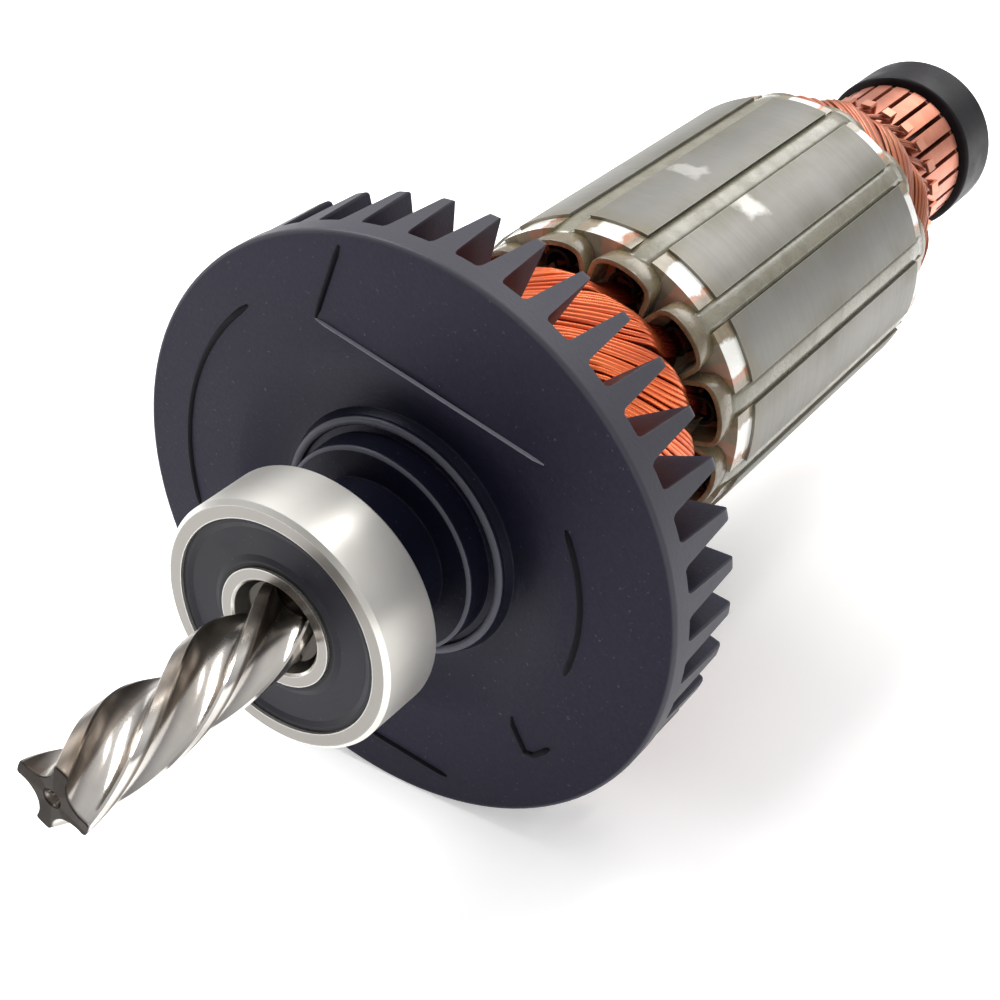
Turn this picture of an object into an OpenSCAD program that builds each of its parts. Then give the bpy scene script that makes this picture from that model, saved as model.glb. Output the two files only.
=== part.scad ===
// Armature of a small series-wound motor for a rotary hammer.
// The shaft runs along +Y, from the helical pinion at the front to the commutator at the back,
// and the origin is on its axis, in the middle of the front bearing.

/* [Front bearing] */
// Outer diameter of the front ball bearing
front_bearing_od = 24; // [22:0.5:26]
// Bore of the front ball bearing
front_bearing_bore = 9; // [8:0.5:10]
// Width of the front ball bearing
front_bearing_width = 7; // [6:0.5:9]
// Diameter of its balls
front_ball_d = 3.97; // [3.4:0.01:4.2]

/* [Rear bearing] */
// Outer diameter of the rear ball bearing
rear_bearing_od = 19; // [18:0.5:20]
// Bore of the rear ball bearing
rear_bearing_bore = 7; // [6:0.5:8]
// Width of the rear ball bearing
rear_bearing_width = 6; // [5:0.5:8]
// Diameter of its balls
rear_ball_d = 3.3; // [3:0.1:3.4]
// Wall of the rubber sleeve round the rear bearing
sleeve_wall = 0.8; // [0.5:0.1:2]

/* [Pinion] */
// Number of helical teeth cut on the shaft's end
pinion_teeth = 4; // [3:1:6]
// Diameter over the teeth
pinion_tip_d = 7.4; // [6.6:0.1:8]
// Diameter at the root of the teeth
pinion_root_d = 3.8; // [3:0.1:4.6]
// Length that stands out in front of the bearing
pinion_length = 25.2; // [15:0.2:35]
// Lead of the left-hand helix
pinion_lead = 42; // [30:1:80]

/* [Shaft] */
// Diameter of the shaft through the fan and the stack
shaft_d = 9.8; // [9.2:0.1:11]
// Diameter of the shaft under the commutator
rear_shaft_d = 8.8; // [8.2:0.1:9]
// Wall of the insulating tube on the shaft
shaft_tube_wall = 1.2; // [0.8:0.1:1.6]

/* [Cooling fan] */
// Outer diameter of the fan
fan_d = 58.4; // [50:0.2:64]
// Number of blades
fan_blades = 38; // [24:1:42]
// Distance from the front bearing to the fan's front face
fan_standoff = 9.4; // [7:0.1:14]
// Thickness of the fan's disc at the rim
fan_disc = 2.3; // [1.6:0.1:3.5]
// Length of the blades behind the disc
blade_length = 8.4; // [5:0.2:12]
// Depth of each blade, from the rim inwards
blade_depth = 9.6; // [6:0.2:11]
// Thickness of a blade at its root
blade_root = 2.1; // [1.6:0.1:2.4]
// Thickness of a blade at its free end
blade_tip = 0.9; // [0.6:0.1:1.4]
// Lean of the blades from the radius, in degrees
blade_lean = 6; // [0:1:12]
// Radius of the hub's front boss
hub_boss_r = 10.4; // [9.4:0.1:11]

/* [Lamination stack] */
// Outer diameter of the stack
stack_d = 35.2; // [32:0.2:40]
// Length of the stack
stack_length = 39.3; // [25:0.5:60]
// Distance from the fan's blades to the stack
fan_to_stack = 25.4; // [20:0.2:32]
// Number of slots
slot_count = 12; // [10:1:12]
// Width of a slot's mouth
slot_mouth = 2.5; // [1.6:0.1:3]
// Width of a slot at its widest place
slot_width = 4.4; // [3.6:0.1:4.8]
// Radius of the round bottom of a slot
slot_root_r = 0.95; // [0.7:0.05:1.1]
// Thickness of the metal lip beside a slot's mouth
slot_lip = 1.1; // [0.8:0.1:1.6]
// Thickness of the front end insulator
front_insulator = 3; // [1.5:0.1:4]
// Thickness of the rear end insulator
rear_insulator = 1.9; // [1:0.1:3]
// Thickness of the paper slot liner
liner_wall = 0.25; // [0.15:0.05:0.4]
// Length of wedge that stands out of each slot
wedge_overhang = 5; // [4:0.1:6]

/* [Winding] */
// Outer radius of the front end winding
front_winding_r = 16.2; // [15:0.1:17]
// Outer radius of the rear end winding
rear_winding_r = 14.6; // [13:0.1:16]
// Length of the rear end winding
rear_winding_length = 12.5; // [9:0.1:15]
// Diameter of the pair of wires that leads to each commutator bar
lead_d = 1; // [0.6:0.1:1.2]

/* [Commutator] */
// Distance from the stack to the commutator bars
stack_to_bars = 20.2; // [17:0.1:26]
// Number of commutator bars
bar_count = 24; // [18:1:24]
// Outer diameter of the commutator bars
bar_d = 18.8; // [18:0.1:20]
// Length of the commutator bars
bar_length = 11.7; // [8:0.1:16]
// Radial depth of a bar
bar_depth = 3; // [2:0.1:3.4]
// Width of the gap between two bars
bar_gap = 0.6; // [0.4:0.05:0.8]

/* [Hidden] */

$fn = 96;

// Clock angles, in degrees from the top towards +X as seen from the pinion.
pinion_clock = 26;
blade_clock = 27.6;
slot_clock = 18.7;
bar_clock = 4;

// Bearings.
ball_count = 7;
ring_chamfer = 0.4;
seal_recess = 1.2;
seal_wall = 0.6;
seal_inset = 0.3;
seal_clearance = 0.06;
ball_clearance = 0.03;
pocket_clearance = 0.06;
race_land = 0.62;
ring_end_wall = 1.23;
outer_end_wall = 1.61;
cage_wall = 1.5;
cage_web = 0.3;

// Stations along the shaft, from the middle of the front bearing.
bearing_face = front_bearing_width / 2;
pinion_front = -bearing_face - pinion_length;
fan_front = bearing_face + fan_standoff;
blades_front = fan_front + fan_disc;
fan_rear = blades_front + blade_length;
stack_front = fan_rear + fan_to_stack;
stack_rear = stack_front + stack_length;
insulator_front = stack_front - front_insulator;
insulator_rear = stack_rear + rear_insulator;
bars_front = stack_rear + stack_to_bars;
bars_rear = bars_front + bar_length;
hub_flange = 0.5;
sleeve_gap = 0.8;
sleeve_lip = 1;
sleeve_front = bars_rear + sleeve_gap;
rear_bearing_front = sleeve_front + sleeve_lip;
rear_bearing_rear = rear_bearing_front + rear_bearing_width;
sleeve_rear = rear_bearing_rear + 0.4;
shaft_rear = rear_bearing_rear + 0.3;

// Radii.
pinion_tip_r = pinion_tip_d / 2;
pinion_root_r = pinion_root_d / 2;
front_journal_r = front_bearing_bore / 2;
rear_journal_r = rear_bearing_bore / 2;
shaft_r = shaft_d / 2;
rear_shaft_r = rear_shaft_d / 2;
tube_r = shaft_r + shaft_tube_wall;
fan_r = fan_d / 2;
stack_r = stack_d / 2;
bar_r = bar_d / 2;
bar_bottom_r = bar_r - bar_depth;
sleeve_r = rear_bearing_od / 2 + sleeve_wall;

// ---------------------------------------------------------------- common forms

// Turns the working axis Z to the shaft's direction +Y.
module along_shaft() {
    rotate([-90, 0, 0])
        children();
}

// Turns a thing that lies on +X to a clock angle.
module at_clock(angle) {
    rotate([0, 0, angle - 90])
        children();
}

// A part of revolution round the shaft from an outline of [radius, station] points.
module turned(outline) {
    rotate_extrude()
        polygon(outline);
}

// Points of an arc round a centre.
function arc(centre, r, from, to, steps) =
    [for (i = [0:steps]) let (a = from + (to - from) * i / steps) centre + r * [cos(a), sin(a)]];

// A round wire swept along points.
function tangent(path, i) =
    let (a = path[max(i - 1, 0)], b = path[min(i + 1, len(path) - 1)]) (b - a) / norm(b - a);
function wire_ring(path, i, r, sides) =
    let (
        t = tangent(path, i),
        across = cross(t, [0, 0, 1]) / norm(cross(t, [0, 0, 1])),
        up = cross(across, t)
    )
    [for (k = [0:sides - 1]) path[i] + r * (cos(360 * k / sides) * across + sin(360 * k / sides) * up)];

module wire(path, r, sides) {
    rings = [for (i = [0:len(path) - 1]) each wire_ring(path, i, r, sides)];
    last = (len(path) - 1) * sides;
    walls = [for (i = [0:len(path) - 2]) for (k = [0:sides - 1])
        let (a = i * sides + k, b = i * sides + (k + 1) % sides)
        each [[a, a + sides, b], [b, a + sides, b + sides]]];
    start_cap = [for (k = [0:sides - 1]) k];
    end_cap = [for (k = [sides - 1:-1:0]) last + k];
    polyhedron(rings, concat([start_cap], walls, [end_cap]));
}

// ---------------------------------------------------------------- bearings

// Outer ring: chamfered outside, a recess for a seal at each end and a groove for the balls.
module bearing_outer_ring(od, width, pitch_r, ball_d) {
    r = od / 2;
    h = width / 2;
    recess_r = r - outer_end_wall;
    land_r = pitch_r + ball_d / 2 - race_land;
    difference() {
        turned([[land_r, -h + seal_recess], [recess_r, -h + seal_recess], [recess_r, -h],
            [r - ring_chamfer, -h], [r, -h + ring_chamfer], [r, h - ring_chamfer], [r - ring_chamfer, h],
            [recess_r, h], [recess_r, h - seal_recess], [land_r, h - seal_recess]]);
        ball_race(pitch_r, ball_d);
    }
}

// Inner ring: thin ends under the seals' lips, a thicker middle with the groove for the balls.
module bearing_inner_ring(bore, width, pitch_r, ball_d) {
    r = bore / 2;
    h = width / 2;
    end_r = r + ring_end_wall;
    land_r = pitch_r - ball_d / 2 + race_land;
    bore_chamfer = 0.2;
    difference() {
        turned([[r, -h + bore_chamfer], [r + bore_chamfer, -h], [end_r, -h], [end_r, -h + seal_recess],
            [land_r, -h + seal_recess], [land_r, h - seal_recess], [end_r, h - seal_recess], [end_r, h],
            [r + bore_chamfer, h], [r, h - bore_chamfer]]);
        ball_race(pitch_r, ball_d);
    }
}

// The ring-shaped space that the balls run in.
module ball_race(pitch_r, ball_d) {
    rotate_extrude()
        translate([pitch_r, 0])
            circle(ball_d / 2 + ball_clearance);
}

module bearing_balls(pitch_r, ball_d) {
    for (i = [0:ball_count - 1])
        rotate([0, 0, 360 * i / ball_count])
            translate([pitch_r, 0, 0])
                sphere(d = ball_d);
}

// Crown cage: a ring behind the balls with prongs between them.
module bearing_cage(pitch_r, ball_d) {
    pocket_r = ball_d / 2 + pocket_clearance;
    prong_front = -0.35 * ball_d;
    difference() {
        turned([[pitch_r - cage_wall / 2, prong_front], [pitch_r + cage_wall / 2, prong_front],
            [pitch_r + cage_wall / 2, pocket_r + cage_web], [pitch_r - cage_wall / 2, pocket_r + cage_web]]);
        bearing_balls(pitch_r, 2 * pocket_r);
    }
}

// Rubber seal, dished a little, seated in the outer ring and running close to the inner ring.
module bearing_seal(od, bore, width) {
    outer = od / 2 - outer_end_wall;
    inner = bore / 2 + ring_end_wall + seal_clearance;
    face = width / 2 - seal_inset;
    dish = 0.2;
    lip = 0.5;
    turned([[inner, face - seal_wall], [inner, face], [inner + lip, face], [inner + 2 * lip, face - dish],
        [outer - 2 * lip, face - dish], [outer - lip, face], [outer, face], [outer, face - seal_wall]]);
}

function pitch(od, bore) = (od + bore) / 4 - 0.28;
front_pitch_r = pitch(front_bearing_od, front_bearing_bore);
rear_pitch_r = pitch(rear_bearing_od, rear_bearing_bore);

module at_rear_bearing() {
    translate([0, 0, (rear_bearing_front + rear_bearing_rear) / 2])
        children();
}

module front_bearing_outer_ring() {
    color("silver")
        along_shaft()
            bearing_outer_ring(front_bearing_od, front_bearing_width, front_pitch_r, front_ball_d);
}

module front_bearing_inner_ring() {
    color("silver")
        along_shaft()
            bearing_inner_ring(front_bearing_bore, front_bearing_width, front_pitch_r, front_ball_d);
}

module front_bearing_balls() {
    color("gainsboro")
        along_shaft()
            bearing_balls(front_pitch_r, front_ball_d);
}

module front_bearing_cage() {
    color("wheat")
        along_shaft()
            bearing_cage(front_pitch_r, front_ball_d);
}

module front_bearing_front_seal() {
    color("dimgray")
        along_shaft()
            mirror([0, 0, 1])
                bearing_seal(front_bearing_od, front_bearing_bore, front_bearing_width);
}

module front_bearing_rear_seal() {
    color("dimgray")
        along_shaft()
            bearing_seal(front_bearing_od, front_bearing_bore, front_bearing_width);
}

module rear_bearing_outer_ring() {
    color("silver")
        along_shaft()
            at_rear_bearing()
                bearing_outer_ring(rear_bearing_od, rear_bearing_width, rear_pitch_r, rear_ball_d);
}

module rear_bearing_inner_ring() {
    color("silver")
        along_shaft()
            at_rear_bearing()
                bearing_inner_ring(rear_bearing_bore, rear_bearing_width, rear_pitch_r, rear_ball_d);
}

module rear_bearing_balls() {
    color("gainsboro")
        along_shaft()
            at_rear_bearing()
                bearing_balls(rear_pitch_r, rear_ball_d);
}

module rear_bearing_cage() {
    color("wheat")
        along_shaft()
            at_rear_bearing()
                bearing_cage(rear_pitch_r, rear_ball_d);
}

module rear_bearing_front_seal() {
    color("dimgray")
        along_shaft()
            at_rear_bearing()
                mirror([0, 0, 1])
                    bearing_seal(rear_bearing_od, rear_bearing_bore, rear_bearing_width);
}

module rear_bearing_rear_seal() {
    color("dimgray")
        along_shaft()
            at_rear_bearing()
                bearing_seal(rear_bearing_od, rear_bearing_bore, rear_bearing_width);
}

// Rubber sleeve that holds the rear bearing in the housing, with a lip over its front face.
module rear_bearing_sleeve() {
    ring_r = rear_bearing_od / 2;
    lip_r = ring_r - outer_end_wall + 0.2;
    round_r = 0.4;
    color("#2a2528")
        along_shaft()
            turned(concat([[lip_r, sleeve_front], [sleeve_r - round_r, sleeve_front]],
                arc([sleeve_r - round_r, sleeve_front + round_r], round_r, -90, 0, 6),
                arc([sleeve_r - round_r, sleeve_rear - round_r], round_r, 0, 90, 6),
                [[ring_r, sleeve_rear], [ring_r, rear_bearing_front], [lip_r, rear_bearing_front]]));
}

// ---------------------------------------------------------------- shaft and pinion

// Cross-section of the pinion: a round bar with a rounded flute between each two teeth, whose
// edges are broken by a small flat.
module pinion_section() {
    flute_r = 2.3;
    edge_angle = 2.5;
    flute_centre = pinion_root_r + flute_r;
    half_pitch = 180 / pinion_teeth;
    square_sum = pinion_tip_r * pinion_tip_r + flute_centre * flute_centre - flute_r * flute_r;
    half_mouth = acos(square_sum / (2 * pinion_tip_r * flute_centre));
    flute_sum = flute_r * flute_r + flute_centre * flute_centre - pinion_tip_r * pinion_tip_r;
    half_arc = acos(flute_sum / (2 * flute_r * flute_centre)) - 2 * edge_angle;
    half_crest = half_pitch - half_mouth - edge_angle;
    polygon([for (k = [0:pinion_teeth - 1]) let (tooth = 2 * k * half_pitch, flute = tooth + half_pitch)
        each concat(
            arc([0, 0], pinion_tip_r, tooth - half_crest, tooth + half_crest, 3),
            arc(flute_centre * [cos(flute), sin(flute)], flute_r,
                flute + 180 + half_arc, flute + 180 - half_arc, 9))]);
}

// Left-hand helical pinion, cut on the shaft's own front end.
module pinion() {
    run_out = 1.8;
    length = pinion_length + run_out;
    centre_hole_r = 0.9;
    centre_hole_depth = 1.6;
    translate([0, 0, pinion_front])
        difference() {
            at_clock(pinion_clock)
                linear_extrude(height = length, twist = 360 * length / pinion_lead, slices = 30)
                    pinion_section();
            translate([0, 0, -0.1])
                cylinder(r1 = centre_hole_r, r2 = 0.3, h = centre_hole_depth, $fn = 24);
        }
}

module shaft() {
    journal_front = -bearing_face + 1.2;
    shoulder_r = pinion_tip_r + 0.2;
    cone = 0.8;
    end_chamfer = 0.4;
    color("lightgray")
        along_shaft()
            union() {
                pinion();
                turned([[0, journal_front], [shoulder_r, journal_front],
                    [front_journal_r, journal_front + cone], [front_journal_r, bearing_face],
                    [shaft_r, bearing_face], [shaft_r, bars_front - 1.2],
                    [rear_shaft_r, bars_front - 1.2], [rear_shaft_r, rear_bearing_front],
                    [rear_journal_r, rear_bearing_front], [rear_journal_r, shaft_rear - end_chamfer],
                    [rear_journal_r - end_chamfer, shaft_rear], [0, shaft_rear]]);
            }
}

// Moulded tube that insulates the stack and the winding from the shaft.
module shaft_insulation_tube() {
    color("ivory")
        along_shaft()
            turned([[shaft_r, fan_rear + 0.2], [tube_r, fan_rear + 0.2], [tube_r, bars_front - 1.2],
                [shaft_r, bars_front - 1.2]]);
}

// ---------------------------------------------------------------- cooling fan

// Half section of the fan's hub and dished disc.
module fan_disc_section() {
    spigot_r = front_journal_r + ring_end_wall - 0.1;
    spigot_front = bearing_face;
    spigot_length = 0.9;
    nose_r = 7.2;
    boss_front = fan_front - 2.6;
    bead_r = hub_boss_r + 1.2;
    bead_top = fan_front - 0.3;
    dish_r = bead_r + 0.9;
    dish_floor = fan_front + 1;
    face_r = dish_r + 6.2;
    edge = 0.4;
    hub_rear_r = 9;
    polygon(concat(
        [[shaft_r, spigot_front], [spigot_r, spigot_front], [spigot_r, spigot_front + spigot_length],
            [nose_r, spigot_front + spigot_length], [nose_r + 0.2, boss_front]],
        arc([hub_boss_r - edge, boss_front + edge], edge, -90, 0, 5),
        [[hub_boss_r + 0.1, fan_front + 0.1]],
        arc([bead_r, bead_top + 0.5], 0.5, 180, 360, 8),
        [for (i = [0:10]) let (s = i / 10)
            [dish_r + (face_r - dish_r) * s, dish_floor + (fan_front - dish_floor) * blend(s)]],
        arc([fan_r - edge, fan_front + edge], edge, -90, 0, 5),
        [[fan_r, blades_front], [hub_rear_r + 3, blades_front], [hub_rear_r, blades_front + 2],
            [hub_rear_r - 0.5, fan_rear], [shaft_r, fan_rear]]));
}

// Outline of one blade as seen from outside: flared into the rim with a round fillet, thin at its end.
module blade_outline() {
    half_root = blade_root / 2;
    half_tip = blade_tip / 2;
    fillet = 0.9;
    sunk = 0.08;
    foot = half_root + fillet;
    polygon(concat(
        [[foot, -0.5], [foot, -sunk]],
        arc([foot, fillet - sunk], fillet, 270, 180, 4),
        arc([0, blade_length - half_tip], half_tip, 0, 180, 6),
        arc([-foot, fillet - sunk], fillet, 0, -90, 4),
        [[-foot, -sunk], [-foot, -0.5]]));
}

// One blade: its outline driven inwards from the rim.
module fan_blade() {
    translate([fan_r, 0, blades_front])
        rotate([0, 0, blade_lean])
            translate([1, 0, 0])
                rotate([90, 0, -90])
                    linear_extrude(height = blade_depth + 1)
                        blade_outline();
}

// Ring that the blades are trimmed to, rounded at the outer rear corner and sloped at the inner one.
module blade_ring_section() {
    corner = 1;
    outer_r = fan_r - 0.1;
    inner_r = fan_r - blade_depth;
    slope = 3;
    polygon(concat(
        [[inner_r, blades_front - 0.4], [outer_r, blades_front - 0.4]],
        arc([outer_r - corner, fan_rear - corner], corner, 0, 90, 5),
        [[inner_r + slope, fan_rear], [inner_r, fan_rear - slope]]));
}

module cooling_fan() {
    color("#25252f")
        along_shaft()
            union() {
                rotate_extrude()
                    fan_disc_section();
                intersection() {
                    rotate_extrude()
                        blade_ring_section();
                    union()
                        for (i = [0:fan_blades - 1])
                            at_clock(blade_clock + 360 * i / fan_blades)
                                fan_blade();
                }
            }
}

// ---------------------------------------------------------------- stack and its insulation

slot_wide_r = stack_r - slot_lip - 0.6;
slot_root_centre = 9.6;

// Slot on +X: mouth, sloping shoulders, straight sides and a round bottom, drawn smaller by an inset.
module slot_shape(inset = 0, top = slot_wide_r) {
    bottom_half = slot_root_r - inset;
    wide_half = slot_width / 2 - inset;
    spread = (wide_half - bottom_half) / (slot_wide_r - slot_root_centre);
    top_half = bottom_half + spread * (top - slot_root_centre);
    polygon([[slot_root_centre, -bottom_half], [top, -top_half], [top, top_half],
        [slot_root_centre, bottom_half]]);
    translate([slot_root_centre, 0])
        circle(bottom_half, $fn = 32);
}

module slot_opening() {
    lip_r = stack_r - slot_lip;
    slot_shape();
    polygon([[slot_wide_r, -slot_width / 2], [lip_r, -slot_mouth / 2], [stack_r + 1, -slot_mouth / 2],
        [stack_r + 1, slot_mouth / 2], [lip_r, slot_mouth / 2], [slot_wide_r, slot_width / 2]]);
}

module at_slots() {
    for (i = [0:slot_count - 1])
        at_clock(slot_clock + 360 * i / slot_count)
            children();
}

// Toothed outline shared by the laminations and the insulators at their ends.
module toothed_outline(r) {
    difference() {
        circle(r);
        circle(tube_r);
        at_slots()
            slot_opening();
    }
}

module extruded_between(from, to) {
    translate([0, 0, from])
        linear_extrude(height = to - from)
            children();
}

module lamination_stack() {
    color("#a5a59f")
        along_shaft()
            extruded_between(stack_front, stack_rear)
                toothed_outline(stack_r);
}

module front_end_insulator() {
    color("white")
        along_shaft()
            extruded_between(insulator_front, stack_front)
                toothed_outline(stack_r - 0.35);
}

module rear_end_insulator() {
    color("white")
        along_shaft()
            extruded_between(stack_rear, insulator_rear)
                toothed_outline(stack_r - 0.35);
}

wedge_arch_r = slot_width / 2 - liner_wall - 0.45;
wedge_wall = 0.35;
wedge_centre = slot_wide_r - 0.05 - wedge_arch_r;
rear_overhang = wedge_overhang - 1;
coil_top = wedge_centre - 0.5;

// Folded paper channel in each slot.
module slot_liners() {
    color("#cbb894")
        along_shaft()
            extruded_between(insulator_front - 0.1, insulator_rear + 0.1)
                at_slots()
                    difference() {
                        slot_shape(0, slot_wide_r);
                        slot_shape(liner_wall, slot_wide_r + 1);
                    }
}

// Arched wedge that closes each slot under its mouth and stands out at both ends.
module slot_wedges() {
    leg = 0.35;
    color("#a89468")
        along_shaft()
            extruded_between(stack_front - wedge_overhang, stack_rear + rear_overhang)
                at_slots()
                    translate([wedge_centre, 0])
                        difference() {
                            union() {
                                circle(wedge_arch_r, $fn = 48);
                                translate([-leg, -wedge_arch_r])
                                    square([leg, 2 * wedge_arch_r]);
                            }
                            circle(wedge_arch_r - wedge_wall, $fn = 48);
                            translate([-leg - 1, -wedge_arch_r + wedge_wall])
                                square([leg + 1, 2 * (wedge_arch_r - wedge_wall)]);
                            translate([-leg - 5, -5])
                                square([5, 10]);
                        }
}

// The copper in each slot.
module coil_sides() {
    color("#b5492f")
        along_shaft()
            extruded_between(insulator_front - 0.1, insulator_rear + 0.1)
                at_slots()
                    slot_shape(liner_wall + 0.1, coil_top);
}

// ---------------------------------------------------------------- winding

// Each end winding is one body whose outside is ridged by the coils: every ridge leaves a slot,
// bulges to the winding's outer radius, runs round the shaft and dives at the end face.
ridge_points = 7;
wound_steps = 12;
turn_points = ridge_points * slot_count;
wound_bore_r = (tube_r + 0.05) / cos(180 / turn_points);
valley_depth = 1.1;
valley_at_slots = 3;
end_face_r = 9.8;

function blend(s) = 3 * s * s - 2 * s * s * s;
function ridge_r(s, hold, outer_r) =
    coil_top - 0.2 + (outer_r - coil_top + 0.2) * blend(min(1, max(0, (s - hold) / 0.24)))
    - (outer_r - end_face_r) * pow(max(0, (s - 0.66) / 0.34), 2.2);
function valley(s) = valley_at_slots + (valley_depth - valley_at_slots) * blend(min(1, s / 0.4));
function across_ridge(u) = 1 - sqrt(1 - 0.94 * pow(2 * u - 1, 2));

function wound_ring(s, z, hold, outer_r, turned_by) =
    [for (k = [0:turn_points - 1])
        let (
            u = ((k + 0.5) % ridge_points) / ridge_points,
            r = ridge_r(s, hold, outer_r) - valley(s) * across_ridge(u),
            clock = slot_clock - 90 + (k + 0.5) * 360 / turn_points - 180 / slot_count + turned_by
        )
        [r * cos(clock), r * sin(clock), z]];
function bore_ring(z, turned_by) =
    [for (k = [0:turn_points - 1])
        let (clock = slot_clock - 90 + (k + 0.5) * 360 / turn_points - 180 / slot_count + turned_by)
        [wound_bore_r * cos(clock), wound_bore_r * sin(clock), z]];

// way is -1 at the front end and 1 at the rear end; a ridge goes round by lay steps of the outline,
// and its outside stays low along hold, under the ends of the wedges.
module end_winding(start, way, length, hold, outer_r, lay) {
    lay_angle = lay * 360 / turn_points;
    outside = [for (i = [0:wound_steps]) let (s = i / wound_steps)
        each wound_ring(s, start + way * length * s, hold / length, outer_r, lay_angle * pow(s, 1.25))];
    bore = concat(bore_ring(start + way * length, lay_angle), bore_ring(start, 0));
    rings = wound_steps + 3;
    n = turn_points;
    faces = [for (i = [0:rings - 1]) for (k = [0:n - 1])
        let (a = i * n + k, b = i * n + (k + 1) % n, shift = i == rings - 2 ? lay + n : 0,
            c = ((i + 1) % rings) * n + (k + shift) % n, d = ((i + 1) % rings) * n + (k + 1 + shift) % n)
        each way > 0 ? [[a, c, b], [b, c, d]] : [[a, b, c], [b, d, c]]];
    polyhedron(concat(outside, bore), faces);
}

module front_end_winding() {
    start = insulator_front - 0.1;
    color("#cf5a36")
        along_shaft()
            end_winding(start, -1, start - fan_rear - 1.4, start - stack_front + wedge_overhang,
                front_winding_r, -18);
}

module rear_end_winding() {
    start = insulator_rear + 0.1;
    color("#b0603c")
        along_shaft()
            end_winding(start, 1, rear_winding_length, stack_rear + rear_overhang - start,
                rear_winding_r, -14);
}

// Wires from the end face of the rear winding to the hook of each bar.
module commutator_leads() {
    r = lead_d / 2;
    start = insulator_rear + 0.1 + rear_winding_length + r + 0.05;
    hook_z = bars_front + 0.6;
    start_r = end_face_r - 0.6;
    end_r = bar_r + r + 0.05;
    twist = 24;
    steps = 5;
    path = [for (i = [0:steps])
        let (s = i / steps, a = -twist * (1 - s), q = start_r + (end_r - start_r) * blend(s))
        [q * cos(a), q * sin(a), start + (hook_z - start) * s]];
    color("#b5492f")
        along_shaft()
            for (i = [0:bar_count - 1])
                at_clock(bar_clock + 360 * i / bar_count)
                    wire(path, r, 6);
}

// ---------------------------------------------------------------- commutator

// One bar: a copper sector with a hook that rises at its front end and folds over the wire.
module commutator_bar() {
    half = 180 / bar_count - asin(bar_gap / 2 / bar_r);
    hook_width = 1.3;
    hook_wall = 0.4;
    hook_z = 1.5;
    extruded_between(bars_front, bars_rear)
        intersection() {
            difference() {
                circle(bar_r);
                circle(bar_bottom_r);
            }
            polygon([[0, 0], [bar_r + 2, -(bar_r + 2) * tan(half)], [bar_r + 2, (bar_r + 2) * tan(half)]]);
        }
    translate([0, hook_width / 2, 0])
        rotate([90, 0, 0])
            linear_extrude(height = hook_width)
                polygon([[bar_r - 0.3, bars_front + hook_z + hook_wall], [bar_r - 0.3, bars_front + hook_z],
                    [bar_r + lead_d + 0.1, bars_front + hook_z], [bar_r + lead_d + 0.1, bars_front - 0.2],
                    [bar_r + lead_d + 0.1 + hook_wall, bars_front - 0.2],
                    [bar_r + lead_d + 0.1 + hook_wall, bars_front + hook_z + 0.1],
                    [bar_r + lead_d + 0.1 + hook_wall - 0.25, bars_front + hook_z + hook_wall]]);
}

module commutator_bars() {
    color("#cd7a5c")
        along_shaft()
            for (i = [0:bar_count - 1])
                at_clock(bar_clock + 360 * i / bar_count)
                    commutator_bar();
}

// Moulded core of the commutator, with a flange at each end of the bars.
module commutator_hub() {
    front_flange = 1.1;
    front_flange_r = bar_r - 0.8;
    rear_flange_r = bar_r - 0.4;
    collar_r = rear_journal_r + ring_end_wall + 0.3;
    color("#4a3a30")
        along_shaft()
            turned([[rear_shaft_r, bars_front - front_flange], [front_flange_r, bars_front - front_flange],
                [front_flange_r, bars_front], [bar_bottom_r, bars_front], [bar_bottom_r, bars_rear],
                [rear_flange_r, bars_rear], [rear_flange_r, bars_rear + hub_flange],
                [collar_r, bars_rear + hub_flange], [collar_r, rear_bearing_front - 0.3],
                [rear_shaft_r, rear_bearing_front - 0.3]]);
}

shaft();
front_bearing_outer_ring();
front_bearing_inner_ring();
front_bearing_balls();
front_bearing_cage();
front_bearing_front_seal();
front_bearing_rear_seal();
cooling_fan();
front_end_insulator();
lamination_stack();
rear_end_insulator();
shaft_insulation_tube();
slot_liners();
slot_wedges();
coil_sides();
front_end_winding();
rear_end_winding();
commutator_leads();
commutator_bars();
commutator_hub();
rear_bearing_inner_ring();
rear_bearing_outer_ring();
rear_bearing_balls();
rear_bearing_cage();
rear_bearing_front_seal();
rear_bearing_rear_seal();
rear_bearing_sleeve();
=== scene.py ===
import math
import random
from types import SimpleNamespace

import bpy
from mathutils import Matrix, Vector


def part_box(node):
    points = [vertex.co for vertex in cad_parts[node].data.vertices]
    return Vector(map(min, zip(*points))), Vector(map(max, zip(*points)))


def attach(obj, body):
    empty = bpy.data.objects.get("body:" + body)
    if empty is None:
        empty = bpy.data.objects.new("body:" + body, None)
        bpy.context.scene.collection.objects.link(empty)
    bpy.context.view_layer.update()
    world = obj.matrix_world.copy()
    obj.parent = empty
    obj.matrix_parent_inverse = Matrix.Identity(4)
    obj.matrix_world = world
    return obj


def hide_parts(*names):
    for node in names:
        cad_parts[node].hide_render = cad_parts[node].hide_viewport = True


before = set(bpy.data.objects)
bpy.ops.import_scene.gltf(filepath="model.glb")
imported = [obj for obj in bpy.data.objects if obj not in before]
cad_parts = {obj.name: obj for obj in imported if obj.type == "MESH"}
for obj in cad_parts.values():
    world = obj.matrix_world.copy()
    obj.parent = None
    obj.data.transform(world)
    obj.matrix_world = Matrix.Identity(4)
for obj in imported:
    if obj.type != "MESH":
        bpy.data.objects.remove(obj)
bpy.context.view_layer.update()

# ------------------------------------------------------------------ the bench it lies on
# A matt white bench under a white tent, with a broad soft lamp at the upper left of the pinion.
# The armature is looked at from the pinion's side, from above and to the right.

MM = 0.001


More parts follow.
